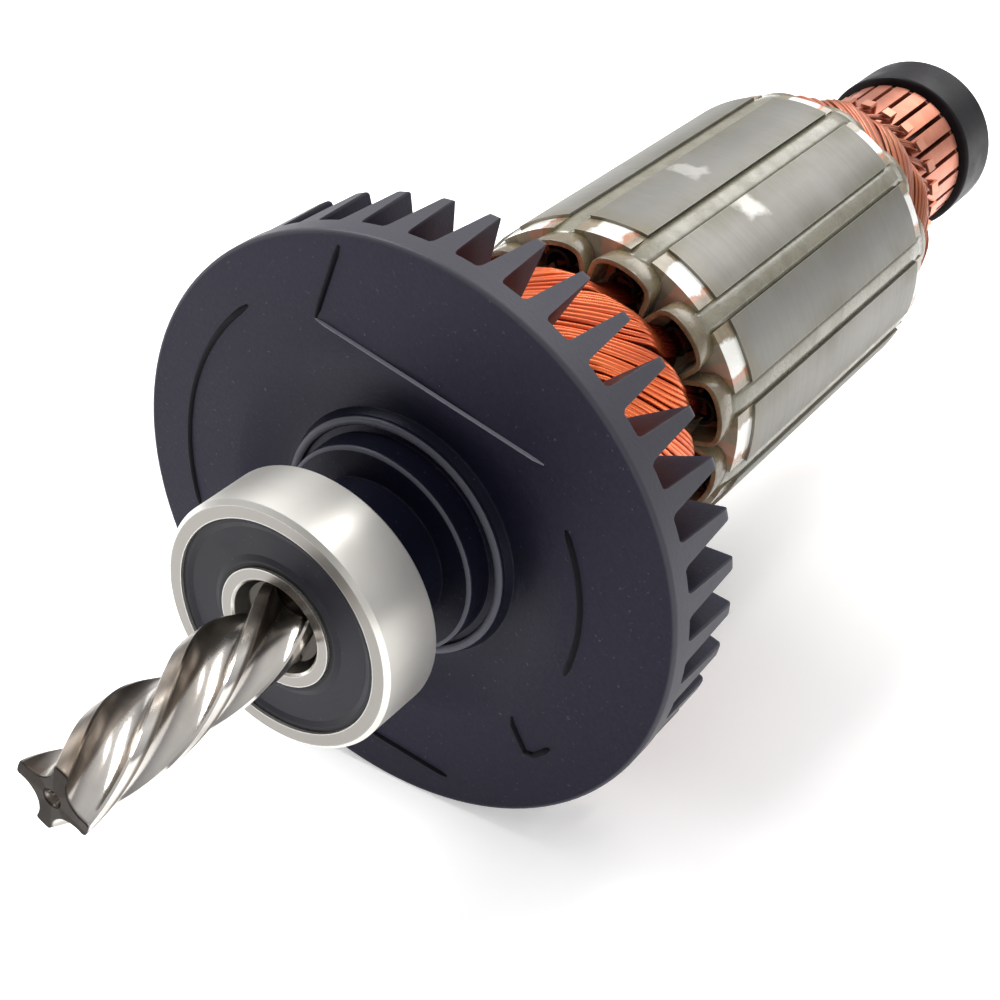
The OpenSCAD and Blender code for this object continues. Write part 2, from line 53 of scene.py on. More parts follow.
def place_camera():
    azimuth, drop = math.radians(34.42), math.radians(33.09)
    level = math.cos(drop)
    look = Vector((-math.sin(azimuth) * level, math.cos(azimuth) * level, -math.sin(drop)))
    camera = bpy.data.objects.new("camera", bpy.data.cameras.new("camera"))
    camera.data.lens = 65.39
    camera.data.sensor_width = 36
    camera.data.clip_start = 0.01
    camera.location = Vector((84.25, -92.95, 91.96)) * MM
    camera.rotation_euler = look.to_track_quat("-Z", "Y").to_euler()
    bpy.context.scene.collection.objects.link(camera)
    bpy.context.scene.camera = camera


def set_sockets(tree, node, values):
    """Each socket takes a plain number or colour, or another node's output."""
    for socket, value in values.items():
        if isinstance(value, bpy.types.NodeSocket):
            tree.links.new(value, node.inputs[socket])
        else:
            node.inputs[socket].default_value = value


def add_node(tree, kind, sockets=None, **settings):
    """One shader node, with its settings made before its sockets are filled."""
    made = tree.nodes.new(kind)
    for setting, value in settings.items():
        setattr(made, setting, value)
    set_sockets(tree, made, sockets or {})
    return made


def calculate(tree, operation, *values):
    """The result of one sum on plain numbers and other nodes' outputs."""
    return add_node(tree, "ShaderNodeMath", dict(enumerate(values)), operation=operation).outputs["Value"]


def times(tree, first, second):
    return calculate(tree, "MULTIPLY", first, second)


def plus(tree, first, second):
    return calculate(tree, "ADD", first, second)


def spread_between(tree, value, low, high, first, last, curve="LINEAR"):
    """A value mapped from low..high to first..last, held at the ends."""
    sockets = {"Value": value, "From Min": low, "From Max": high, "To Min": first, "To Max": last}
    return add_node(tree, "ShaderNodeMapRange", sockets, interpolation_type=curve).outputs["Result"]


def new_finish(material_name, **sockets):
    """A material, its tree and its Principled shader. Sockets are named here with _ for a space."""
    material = bpy.data.materials.new(material_name)
    material.use_nodes = True
    shader = material.node_tree.nodes["Principled BSDF"]
    set_sockets(material.node_tree, shader, {name.replace("_", " "): sockets[name] for name in sockets})
    return material, material.node_tree, shader


def light_tent():
    """White overhead and behind, darker low down and in front, for polished steel to mirror."""
    world = bpy.data.worlds.new("tent")
    bpy.context.scene.world = world
    world.use_nodes = True
    tree = world.node_tree
    tree.nodes.clear()
    coords = add_node(tree, "ShaderNodeTexCoord")
    way = add_node(tree, "ShaderNodeSeparateXYZ", {"Vector": coords.outputs["Generated"]})
    ramp = add_node(tree, "ShaderNodeValToRGB", {"Fac": way.outputs["Z"]})
    low, high = ramp.color_ramp.elements
    low.color, low.position = (0.42, 0.42, 0.44, 1), 0.05
    high.color, high.position = (1.0, 1.0, 1.0, 1), 0.75
    front = spread_between(tree, way.outputs["Y"], -0.75, 0.25, 0.22, 1.0)
    sky = add_node(tree, "ShaderNodeBackground", {"Color": ramp.outputs["Color"], "Strength": front})
    add_node(tree, "ShaderNodeOutputWorld", {"Surface": sky.outputs["Background"]})


def hang_lamp(name, place, aim, size, watts):
    lamp = bpy.data.objects.new(name, bpy.data.lights.new(name, "AREA"))
    lamp.data.shape = "RECTANGLE"
    lamp.data.size, lamp.data.size_y = size
    lamp.data.energy = watts
    lamp.location = place
    lamp.rotation_euler = (Vector(aim) - Vector(place)).to_track_quat("-Z", "Y").to_euler()
    bpy.context.scene.collection.objects.link(lamp)


def lay_bench():
    """A wide sheet under the fan's lowest point. It glows a little as painted light that lightens its
    shadow, and least beside the front winding.
    """
    material, tree, shader = new_finish("bench_white_painted_glow", Base_Color=(0.93, 0.93, 0.93, 1), Roughness=0.6)
    shader.inputs["Emission Color"].default_value = (1, 1, 1, 1)
    coords = add_node(tree, "ShaderNodeTexCoord")
    station = add_node(tree, "ShaderNodeSeparateXYZ", {"Vector": coords.outputs["Object"]}).outputs["Y"]
    # Painted light: the glow is strongest in front, weakest beside the front winding and stronger again
    # beyond it, so the shadow is lightened unevenly
    before = spread_between(tree, station, 0.0, 0.035, 0.56, 0.12, "SMOOTHSTEP")
    glow_beyond_winding = spread_between(tree, station, 0.045, 0.085, 0.0, 0.32, "SMOOTHSTEP")
    tree.links.new(plus(tree, before, glow_beyond_winding), shader.inputs["Emission Strength"])
    rest_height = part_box("cooling_fan")[0].z
    half = 20.0
    corners = [(half * x, half * y, rest_height) for x, y in ((-1, -1), (1, -1), (1, 1), (-1, 1))]
    mesh = bpy.data.meshes.new("bench")
    mesh.from_pydata(corners, [], [(0, 1, 2, 3)])
    mesh.materials.append(material)
    bench = bpy.data.objects.new("bench", mesh)
    bpy.context.scene.collection.objects.link(bench)


place_camera()
light_tent()
at_bearing, at_winding, at_stack = (0, 0, 0), (0, 0.04, 0), (0, 0.08, 0)
hang_lamp("broad_lamp", (-0.50, 0.10, 0.68), at_winding, (0.5, 0.4), 7.0)
hang_lamp("rear_lamp", (0.1, 0.75, 0.5), at_stack, (0.6, 0.3), 1.6)
hang_lamp("front_lamp", (0.50, -0.50, 0.42), at_bearing, (0.10, 0.4), 0.4)
hang_lamp("ring_lamp", (0.12, 0.36, 0.70), at_bearing, (0.08, 0.3), 0.9)
lay_bench()
bpy.context.scene.view_settings.view_transform = "Standard"

# ------------------------------------------------------------------ shaft and pinion
# One piece of case-hardened steel: the four-tooth helical pinion is hobbed on its end and ground.
# The crests are bright, beside them a brown film of old oil is darkened with painted dark reflection, and
# both end faces are dull.


def find_place(tree):
    """Where a point of the surface is: x, y along the shaft, z, and its distance from the shaft's axis."""
    coords = add_node(tree, "ShaderNodeTexCoord").outputs
    axes = add_node(tree, "ShaderNodeSeparateXYZ", {"Vector": coords["Object"]}).outputs
    flat = add_node(tree, "ShaderNodeCombineXYZ", {"X": axes["X"], "Y": axes["Z"]})
    radius = add_node(tree, "ShaderNodeVectorMath", {0: flat.outputs["Vector"]}, operation="LENGTH")
    return SimpleNamespace(
        spot=coords["Object"], x=axes["X"], along=axes["Y"], z=axes["Z"], radius=radius.outputs["Value"]
    )


def find_clock(tree, at):
    """The clock angle of that point in degrees, from the top towards +X."""
    return calculate(tree, "DEGREES", calculate(tree, "ARCTAN2", at.x, at.z))


def cloud(tree, spot, scale, detail, roughness=0.5):
    """Noise from 0 to 1."""
    sockets = {"Vector": spot, "Scale": scale, "Detail": detail, "Roughness": roughness}
    return add_node(tree, "ShaderNodeTexNoise", sockets).outputs["Fac"]


def fade_in(tree, value, low, high, full=1.0):
    return spread_between(tree, value, low, high, 0.0, full)


def fade_out(tree, value, low, high, full=1.0):
    return spread_between(tree, value, low, high, full, 0.0)


def new_group(name, inputs, outputs):
    """A shader node group with named number sockets, what its inputs give, and its end node."""
    group = bpy.data.node_groups.new(name, "ShaderNodeTree")
    for label, value in inputs.items():
        socket = group.interface.new_socket(label, in_out="INPUT", socket_type="NodeSocketFloat")
        socket.default_value = value
    for label in outputs:
        group.interface.new_socket(label, in_out="OUTPUT", socket_type="NodeSocketFloat")
    return group, group.nodes.new("NodeGroupInput").outputs, group.nodes.new("NodeGroupOutput")


def make_turning_marks():
    """Fine rings round the shaft's axis, as a lathe or a grinding wheel leaves them."""
    rings = {"Rings per mm": 4.0, "Waviness": 0.02}
    group, start, end = new_group("turning_marks", rings, ("Mask", "Height"))
    at = find_place(group)
    wobble = times(group, cloud(group, at.spot, 90.0, 2.0), start["Waviness"])
    along = plus(group, at.along, times(group, wobble, MM))
    ring = add_node(group, "ShaderNodeCombineXYZ", {"X": along, "Y": at.radius})
    per_metre = times(group, start["Rings per mm"], 1 / MM)
    lines = cloud(group, ring.outputs["Vector"], per_metre, 3.0, 0.6)
    set_sockets(group, end, {"Mask": lines, "Height": lines})
    return group


def make_worn_edges():
    """A mask that is 1 where an edge is rubbed, broken up by noise."""
    group, start, end = new_group("worn_edges", {"Width mm": 0.15, "Patchiness": 0.5}, ("Mask",))
    width = times(group, start["Width mm"], MM)
    rounded = add_node(group, "ShaderNodeBevel", {"Radius": width}, samples=4)
    surface = add_node(group, "ShaderNodeNewGeometry")
    normals = {0: rounded.outputs["Normal"], 1: surface.outputs["Normal"]}
    same = add_node(group, "ShaderNodeVectorMath", normals, operation="DOT_PRODUCT")
    edge = fade_in(group, same.outputs["Value"], 0.99, 0.85)
    coords = add_node(group, "ShaderNodeTexCoord")
    patch = fade_in(group, cloud(group, coords.outputs["Object"], 700.0, 4.0), 0.35, 0.65)
    broken = add_node(group, "ShaderNodeMix", {0: start["Patchiness"], 2: 1.0, 3: patch}, data_type="FLOAT")
    set_sockets(group, end, {"Mask": times(group, edge, broken.outputs[0])})
    return group


def make_smudges():
    """Large soft patches and fine specks: oil film, finger marks and dust."""
    scales = {"Patches per mm": 0.15, "Specks per mm": 2.0}
    group, start, end = new_group("smudges", scales, ("Patches", "Specks"))
    spot = add_node(group, "ShaderNodeTexCoord").outputs["Object"]
    patches = cloud(group, spot, times(group, start["Patches per mm"], 1 / MM), 5.0, 0.6)
    specks = cloud(group, spot, times(group, start["Specks per mm"], 1 / MM), 2.0)
    spread, sharp = fade_in(group, patches, 0.38, 0.66), fade_in(group, specks, 0.70, 0.76)
    set_sockets(group, end, {"Patches": spread, "Specks": sharp})
    return group


turning_marks = make_turning_marks()
worn_edges = make_worn_edges()
smudges = make_smudges()


def place_group(tree, group, **values):
    """The outputs of one use of a group, with its own values. Sockets are named with _ for a space."""
    sockets = {name.replace("_", " "): values[name] for name in values}
    return add_node(tree, "ShaderNodeGroup", sockets, node_tree=group).outputs


def mix_colours(tree, mask, first, second, share=1.0):
    """The colour that goes from first to second, or a share of the way, as the mask goes from 0 to 1."""
    if share < 1.0:
        mask = times(tree, mask, share)
    made = add_node(tree, "ShaderNodeMix", {0: mask}, data_type="RGBA")
    for socket, colour in ((6, first), (7, second)):
        value = colour if isinstance(colour, bpy.types.NodeSocket) else (*colour, 1)
        set_sockets(tree, made, {socket: value})
    return made.outputs[2]


def feed(tree, shader, colour, roughness=None):
    """Colour, and where given roughness, that change over the surface."""
    tree.links.new(colour, shader.inputs["Base Color"])
    if roughness is not None:
        tree.links.new(roughness, shader.inputs["Roughness"])


def raise_by(tree, shader, height, depth_mm, strength):
    """Height from 0 to 1 as relief of that depth, fed to the shader's normal."""
    sockets = {"Height": height, "Distance": depth_mm * MM, "Strength": strength}
    bump = add_node(tree, "ShaderNodeBump", sockets)
    tree.links.new(bump.outputs["Normal"], shader.inputs["Normal"])


def finish_nodes(material, *names):
    for name in names:
        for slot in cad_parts[name].material_slots:
            slot.material = material


TEETH = 4
PINION_CLOCK = 26.0
PINION_LEAD = 42.0
shaft_low, shaft_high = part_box("shaft")


def oil_and_painted_reflection_on_teeth(tree, at, patches):
    """The film of oil, darkened with painted dark reflection: past each land's end and thinly in the
    flutes, and on the lands at the upper left only painted dark reflection.
    """
    clock = find_clock(tree, at)
    land_clock, land_end, film_end = PINION_CLOCK - 14.0, (15.0, 19.0), (44.0, 60.0)
    from_end = calculate(tree, "SUBTRACT", at.along, shaft_low.y)
    unwound = plus(tree, clock, times(tree, from_end, 360 / PINION_LEAD / MM))
    past_edge = calculate(tree, "WRAP", calculate(tree, "SUBTRACT", unwound, land_clock), 360 / TEETH, 0.0)
    beside = times(tree, fade_in(tree, past_edge, *land_end), fade_out(tree, past_edge, *film_end))
    on_land = times(tree, fade_in(tree, past_edge, 0.0, 3.0), fade_out(tree, past_edge, *land_end))
    # Painted dark reflection on the lands at the upper left, chosen by clock angle
    painted_dark_upper_left = fade_out(tree, clock, 25.0, 45.0, 0.92)
    stained = plus(tree, beside, times(tree, on_land, painted_dark_upper_left))
    in_flute = fade_out(tree, at.radius, 2.0 * MM, 3.0 * MM, 0.45)
    oil_and_dark_reflection = calculate(tree, "MAXIMUM", times(tree, stained, 0.96), in_flute)
    return times(tree, oil_and_dark_reflection, spread_between(tree, patches, 0.0, 1.0, 0.8, 1.0))


def make_shaft_steel():
    material, tree, shader = new_finish("ground_shaft_steel", Roughness=0.16, Metallic=1.0)
    at = find_place(tree)
    marks = place_group(tree, turning_marks, Rings_per_mm=5.0, Waviness=0.3)
    film = place_group(tree, smudges, Patches_per_mm=0.12, Specks_per_mm=3.0)
    in_front = fade_out(tree, at.along, -2.5 * MM, -2.3 * MM)
    oil_and_dark_reflection = times(tree, oil_and_painted_reflection_on_teeth(tree, at, film["Patches"]), in_front)
    before_seat = fade_out(tree, at.along, -0.9 * MM, -0.7 * MM)
    # Painted shade inside the bearing's bore
    shade_in_bore = times(tree, calculate(tree, "SUBTRACT", 1.0, in_front), before_seat)
    end_face = fade_out(tree, at.along, shaft_low.y + 0.05 * MM, shaft_low.y + 0.25 * MM)
    tail_face = fade_in(tree, at.along, shaft_high.y - 0.5 * MM, shaft_high.y - 0.3 * MM)
    steel = mix_colours(tree, film["Patches"], (0.76, 0.73, 0.69), (0.68, 0.64, 0.59))
    # Brown oil film darkened with painted dark reflection
    steel = mix_colours(tree, oil_and_dark_reflection, steel, (0.10, 0.075, 0.055))
    steel = mix_colours(tree, shade_in_bore, steel, (0.05, 0.045, 0.04))
    steel = mix_colours(tree, end_face, steel, (0.036, 0.029, 0.024))
    steel = mix_colours(tree, tail_face, steel, (0.26, 0.245, 0.22))
    rough = spread_between(tree, marks["Mask"], 0.3, 0.7, 0.10, 0.17)
    rough = plus(tree, rough, times(tree, oil_and_dark_reflection, 0.22))
    dull = times(tree, plus(tree, end_face, tail_face), 0.3)
    feed(tree, shader, steel, plus(tree, rough, dull))
    raise_by(tree, shader, marks["Height"], 0.001, 0.2)
    return material


def link_piece(name, vertices, faces, materials):
    """A smooth mesh that turns with the armature."""
    mesh = bpy.data.meshes.new(name)
    mesh.from_pydata(vertices, [], faces)
    for material in materials:
        mesh.materials.append(material)
    mesh.polygons.foreach_set("use_smooth", [True] * len(mesh.polygons))
    piece = bpy.data.objects.new(name, mesh)
    bpy.context.scene.collection.objects.link(piece)
    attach(piece, "armature")
    return piece


def join_rings(faces, first, rings, wide):
    """Faces between closed rings of points that follow one another, from the first point on."""
    for a in range(first, first + (rings - 1) * wide):
        b = a + 1 if (a + 1 - first) % wide else a + 1 - wide
        faces.append((a, b, b + wide, a + wide))


def close_ends(faces, first, rings, wide):
    """One face across the first ring and one across the last."""
    last = first + (rings - 1) * wide
    faces.append(tuple(range(first + wide - 1, first - 1, -1)))
    faces.append(tuple(range(last, last + wide)))


def point_at(radius, turn, along):
    """A point in metres, from a radius and a station in mm and a turn in radians."""
    return (radius * math.sin(turn) * MM, along * MM, radius * math.cos(turn) * MM)


def pinion_outline():
    """Cross-section of the pinion, as (angle in degrees, radius in mm): narrow crests and hollow flutes."""
    tip, root, flute_radius, edge_angle = 3.7, 1.9, 2.3, 2.5
    crest_steps, flute_steps = 4, 20
    centre = root + flute_radius
    half_mouth = math.degrees(math.acos((tip**2 + centre**2 - flute_radius**2) / (2 * tip * centre)))
    cosine = (flute_radius**2 + centre**2 - tip**2) / (2 * flute_radius * centre)
    half_arc = math.degrees(math.acos(cosine)) - 2 * edge_angle
    half_crest = 180 / TEETH - half_mouth - edge_angle
    outline = []
    for tooth in range(TEETH):
        middle = tooth * 360 / TEETH
        for i in range(crest_steps + 1):
            outline.append((middle + half_crest * (2 * i / crest_steps - 1), tip))
        for i in range(flute_steps + 1):
            turn = math.radians(180 + half_arc * (1 - 2 * i / flute_steps))
            x, y = centre + flute_radius * math.cos(turn), flute_radius * math.sin(turn)
            outline.append((middle + 180 / TEETH + math.degrees(math.atan2(y, x)), math.hypot(x, y)))
    return outline


def cut_pinion(vertices, faces, front, back):
    """The toothed end, twisted along the shaft, with the lathe's centre hole in its face."""
    outline = pinion_outline()
    slices, chamfer = 96, 0.07
    hole_radius, hole_end_radius, hole_depth = 0.9, 0.3, 1.5
    toothed = back - front - chamfer
    teeth = [(front, chamfer), (front + chamfer, 0.0)]
    teeth += [(front + chamfer + toothed * (i + 1) / slices, 0.0) for i in range(slices)]
    rows = [(front + hole_depth, [hole_end_radius] * len(outline)), (front, [hole_radius] * len(outline))]
    rows += [(along, [radius - inset for angle, radius in outline]) for along, inset in teeth]
    first = len(vertices)
    for along, radii in rows:
        twist = PINION_CLOCK - 360 * (along - front) / PINION_LEAD
        for (angle, radius), reach in zip(outline, radii):
            vertices.append(point_at(reach, math.radians(angle + twist), along))
    join_rings(faces, first, len(rows), len(outline))
    close_ends(faces, first, len(rows), len(outline))


def turn_round(vertices, faces, outline, sides):
    """A part of revolution from an outline of (radius, station) in mm that starts and ends on the axis."""
    middle = len(vertices)
    inner = outline[1:-1]
    vertices.append((0.0, outline[0][1] * MM, 0.0))
    vertices.append((0.0, outline[-1][1] * MM, 0.0))
    for radius, along in inner:
        for k in range(sides):
            vertices.append(point_at(radius, 2 * math.pi * k / sides, along))
    first = middle + 2
    join_rings(faces, first, len(inner), sides)
    last = first + (len(inner) - 1) * sides
    for k in range(sides):
        faces.append((middle, first + (k + 1) % sides, first + k))
        faces.append((middle + 1, last + k, last + (k + 1) % sides))


def make_smooth_shaft(steel):
    """The same shaft as the solid one, with its teeth and journals smooth enough to mirror the tent."""
    front, end, shaft_radius = shaft_low.y / MM, shaft_high.y / MM, shaft_high.x / MM
    ring_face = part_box("front_bearing_outer_ring")[1].y / MM
    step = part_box("shaft_insulation_tube")[1].y / MM
    rear_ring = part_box("rear_bearing_inner_ring")[0].y / MM
    cone_radius, seat_radius, waist_radius, tail_radius, end_chamfer = 3.9, 4.5, 4.4, 3.5, 0.4
    cone_front, cone_back, teeth_back = 1.2 - ring_face, 2.0 - ring_face, 1.8 - ring_face
    vertices, faces = [], []
    cut_pinion(vertices, faces, front, teeth_back)
    turned = [
        (0, cone_front), (cone_radius, cone_front), (seat_radius, cone_back), (seat_radius, ring_face),
        (shaft_radius, ring_face), (shaft_radius, step), (waist_radius, step), (waist_radius, rear_ring),
        (tail_radius, rear_ring), (tail_radius, end - end_chamfer), (tail_radius - end_chamfer, end),
        (0, end),
    ]
    turn_round(vertices, faces, turned, 128)
    piece = link_piece("smooth_shaft", vertices, faces, [steel])
    piece.data.set_sharp_from_angle(angle=math.radians(24))
    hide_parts("shaft")


make_smooth_shaft(make_shaft_steel())

# ------------------------------------------------------------------ ball bearings
# Two sealed deep-groove bearings. The rings are ground and polished steel, with fine rings left by
# the wheel, and the seals are black rubber, bonded to steel and snapped into the outer ring.


def find_facing(tree):
    """How squarely the surface faces along the shaft, from 0 to 1."""
    coords = add_node(tree, "ShaderNodeTexCoord")
    facing = add_node(tree, "ShaderNodeSeparateXYZ", {"Vector": coords.outputs["Normal"]})
    return calculate(tree, "ABSOLUTE", facing.outputs["Y"])


def make_bearing_steel():
    material, tree, shader = new_finish("polished_bearing_steel", Roughness=0.16, Metallic=0.85)
    marks = place_group(tree, turning_marks, Rings_per_mm=7.0, Waviness=0.05)
    film = place_group(tree, smudges, Patches_per_mm=0.08, Specks_per_mm=2.0)
    wear = place_group(tree, worn_edges, Width_mm=0.2, Patchiness=0.1)
    steel = mix_colours(tree, film["Patches"], (0.84, 0.82, 0.77), (0.78, 0.75, 0.69))
    # Painted shade: the end faces, which face along the shaft, are darker than the outside
    steel = mix_colours(tree, fade_in(tree, find_facing(tree), 0.85, 0.97), steel, (0.275, 0.26, 0.24))
    steel = mix_colours(tree, wear["Mask"], steel, (0.80, 0.79, 0.76))
    rough = spread_between(tree, marks["Mask"], 0.3, 0.7, 0.18, 0.24)
    outer_ring = fade_in(tree, find_place(tree).radius, 9.4 * MM, 9.5 * MM, 0.12)
    feed(tree, shader, steel, plus(tree, rough, outer_ring))
    raise_by(tree, shader, marks["Height"], 0.0005, 0.2)
    return material


def make_ball_steel():
    material, tree, shader = new_finish("lapped_ball_steel", Roughness=0.06, Metallic=1.0)
    film = place_group(tree, smudges, Patches_per_mm=0.5, Specks_per_mm=3.0)
    steel = mix_colours(tree, film["Patches"], (0.80, 0.80, 0.80), (0.72, 0.72, 0.71))
    feed(tree, shader, steel, spread_between(tree, film["Patches"], 0.0, 1.0, 0.05, 0.1))
    return material


def make_seal_rubber():
    """Black, with painted shade in the grooves at its outer and inner lips."""
    material, tree, shader = new_finish("black_seal_rubber", Roughness=0.42, Specular_IOR_Level=0.2)
    at = find_place(tree)
    marks = place_group(tree, turning_marks, Rings_per_mm=2.2, Waviness=0.1)
    film = place_group(tree, smudges, Patches_per_mm=0.4, Specks_per_mm=3.5)
    black = mix_colours(tree, film["Patches"], (0.0155, 0.0145, 0.021), (0.021, 0.020, 0.028))
    black = mix_colours(tree, film["Specks"], black, (0.05, 0.05, 0.055))
    # The rear bearing is smaller: its radii are raised to those of the front one
    on_rear_bearing = fade_in(tree, at.along, 60 * MM, 61 * MM)
    outer_step, inner_step = 2.5 * MM, 1.0 * MM
    outer = plus(tree, at.radius, times(tree, on_rear_bearing, outer_step))
    inner = plus(tree, at.radius, times(tree, on_rear_bearing, inner_step))
    # Painted shade in the grooves at the outer and inner lips
    lip_shade = calculate(
        tree, "MAXIMUM",
        fade_in(tree, outer, 10.1 * MM, 10.2 * MM), fade_out(tree, inner, 6.05 * MM, 6.15 * MM),
    )
    black = mix_colours(tree, lip_shade, black, (0.002, 0.002, 0.002))
    feed(tree, shader, black, spread_between(tree, film["Patches"], 0.0, 1.0, 0.42, 0.52))
    raise_by(tree, shader, marks["Height"], 0.004, 0.4)
    return material


def make_patchy(name, light, dark, roughness, patches_per_mm, specks_per_mm, depth_mm, strength):
    """A plain finish whose colour and relief follow the same soft patches."""
    material, tree, shader = new_finish(name, Roughness=roughness)
    film = place_group(tree, smudges, Patches_per_mm=patches_per_mm, Specks_per_mm=specks_per_mm)
    feed(tree, shader, mix_colours(tree, film["Patches"], light, dark))
    raise_by(tree, shader, film["Patches"], depth_mm, strength)
    return material


cage_nylon = make_patchy(
    "natural_cage_nylon", (0.62, 0.52, 0.34), (0.50, 0.41, 0.26), roughness=0.45,
    patches_per_mm=0.4, specks_per_mm=3.0, depth_mm=0.01, strength=0.4,
)
bearing_steel, ball_steel, seal_rubber = make_bearing_steel(), make_ball_steel(), make_seal_rubber()
for end in ("front", "rear"):
    finish_nodes(bearing_steel, end + "_bearing_outer_ring", end + "_bearing_inner_ring")
    finish_nodes(ball_steel, end + "_bearing_balls")
    finish_nodes(cage_nylon, end + "_bearing_cage")
    finish_nodes(seal_rubber, end + "_bearing_front_seal", end + "_bearing_rear_seal")

# ------------------------------------------------------------------ cooling fan
# A moulding of glass-filled nylon, blue-black and matt, pressed on the shaft. The blade edges are rubbed
# grey, the rim has painted sheen, the hub's dish painted shade and its ridges painted highlights. Thin
# raised lines on its face, painted as shade or as a highlight, frame places that are left bare.

FAN_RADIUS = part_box("cooling_fan")[1].x
FAN_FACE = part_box("front_bearing_outer_ring")[1].y + 9.4 * MM


def make_fan_nylon():
    material, tree, shader = new_finish(
        "blue_black_fan_nylon", Roughness=0.5, Specular_IOR_Level=0.17, Specular_Tint=(0.8, 0.78, 1.0, 1.0)
    )
    at = find_place(tree)
    film = place_group(tree, smudges, Patches_per_mm=0.05, Specks_per_mm=2.6)
    grit = place_group(tree, smudges, Patches_per_mm=2.5, Specks_per_mm=5.0)
    wear = place_group(tree, worn_edges, Width_mm=0.25, Patchiness=0.6)
    # Lighter towards the top
    lighter_upwards = spread_between(tree, at.z, 0.0, 25 * MM, 0.1, 0.5)
    # Painted shade over the hub's dish and neck, which are darker and glossier
    near_shaft = fade_out(tree, at.radius, 13.0 * MM, 17.0 * MM, 0.85)
    hub = times(tree, near_shaft, fade_out(tree, at.along, 18 * MM, 19 * MM))
    # Painted highlights on the boss's edge and on the bead round it
    boss_edge = calculate(tree, "COMPARE", at.radius, 10.15 * MM, 0.18 * MM)
    bead = calculate(tree, "COMPARE", at.radius, 11.6 * MM, 0.4 * MM)
    ridge_highlights = times(tree, calculate(tree, "MAXIMUM", boss_edge, bead), hub)
    # Painted sheen on the rim
    rim_sheen = fade_in(tree, at.radius, FAN_RADIUS - 0.45 * MM, FAN_RADIUS - 0.2 * MM)
    nylon = mix_colours(tree, film["Patches"], (0.0062, 0.0058, 0.0145), (0.0105, 0.0095, 0.021))
    nylon = mix_colours(tree, lighter_upwards, nylon, (0.022, 0.020, 0.034))
    nylon = mix_colours(tree, grit["Patches"], nylon, (0.026, 0.026, 0.042), 0.2)
    nylon = mix_colours(tree, hub, nylon, (0.0035, 0.004, 0.0105))
    nylon = mix_colours(tree, ridge_highlights, nylon, (0.13, 0.132, 0.155), 0.8)
    nylon = mix_colours(tree, film["Specks"], nylon, (0.14, 0.14, 0.16), 0.25)
    nylon = mix_colours(tree, rim_sheen, nylon, (0.072, 0.071, 0.080), 0.8)
    nylon = mix_colours(tree, wear["Mask"], nylon, (0.12, 0.12, 0.135), 0.3)
    rough = spread_between(tree, film["Patches"], 0.0, 1.0, 0.42, 0.52)
    feed(tree, shader, nylon, calculate(tree, "SUBTRACT", rough, times(tree, hub, 0.14)))
    raise_by(tree, shader, grit["Patches"], 0.02, 0.35)
    return material


finish_nodes(make_fan_nylon(), "cooling_fan")


def on_face(clock, radius_mm):
    """A point of the fan's flat face, from its clock angle in degrees and its radius."""
    turn = math.radians(clock)
    return Vector((radius_mm * math.sin(turn), radius_mm * math.cos(turn)))


def arc_on_face(radius_mm, from_clock, to_clock, steps):
    return [on_face(from_clock + (to_clock - from_clock) * i / steps, radius_mm) for i in range(steps + 1)]


def straight(start, end, steps):
    return [start + (end - start) * i / steps for i in range(steps + 1)]


def raise_line(vertices, faces, route, half_width):
    """A low rib with a rounded top along a route on the fan's face, in mm. It sinks at its ends."""
    section = [(-1.0, -0.02), (-0.6, 0.8), (0.0, 1.0), (0.6, 0.8), (1.0, -0.02)]
    height = 0.25
    first, wide = len(vertices), len(section)
    for i, point in enumerate(route):
        before, after = route[max(i - 1, 0)], route[min(i + 1, len(route) - 1)]
        ahead = (after - before).normalized()
        side = Vector((-ahead.y, ahead.x))
        at_end = i in (0, len(route) - 1)
        reach, rise = (0.5 * half_width, 0.25 * height) if at_end else (half_width, height)
        for across, up in section:
            spot = point + side * across * reach
            vertices.append((spot.x * MM, FAN_FACE - up * rise * MM, spot.y * MM))
    for i in range(len(route) - 1):
        for k in range(wide - 1):
            a = first + i * wide + k
            faces.append((a, a + wide, a + wide + 1, a + 1))


def raise_lines(name, routes, half_width, colour):
    nylon = new_finish(name + "_nylon", Roughness=0.55, Specular_IOR_Level=0.1, Base_Color=colour)[0]
    vertices, faces = [], []
    for route in routes:
        raise_line(vertices, faces, route, half_width)
    link_piece(name, vertices, faces, [nylon])


# The edges of the bare places that lie in their own shade, on the sides away from the light
hook = [on_face(138.5, 19.6)] + straight(on_face(140, 20.3), on_face(141.5, 23.2), 6)
shaded_routes = [
    straight(on_face(-9.2, 27.9), on_face(-20.7, 21.3), 8),
    arc_on_face(24.3, -39, -103, 24),
    arc_on_face(19.9, 67, 112, 20),
    hook + arc_on_face(23.8, 139.5, 134, 4),
    straight(on_face(-171.3, 24.6), on_face(167.9, 26.3), 12),
]
# The edge that catches the light, below the largest of the bare places: a low rib painted light as a
# highlight
highlit_routes = [straight(on_face(-20.7, 21.3), on_face(50.3, 20.9), 24)]
raise_lines("fan_shaded_lines", shaded_routes, 0.3, (0.0015, 0.0015, 0.004, 1))
raise_lines("fan_highlit_lines", highlit_routes, 0.16, (0.17, 0.17, 0.20, 1))

# ------------------------------------------------------------------ lamination stack
# Thin sheets of silicon steel, pressed on the insulated shaft and ground round. Fine lines between
# the sheets show, with brown varnish beside the slots and two patches where it was ground again.

SLOTS = 12
SLOT_CLOCK = 18.7
PITCH = 360 / SLOTS
stack_low, stack_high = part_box("lamination_stack")


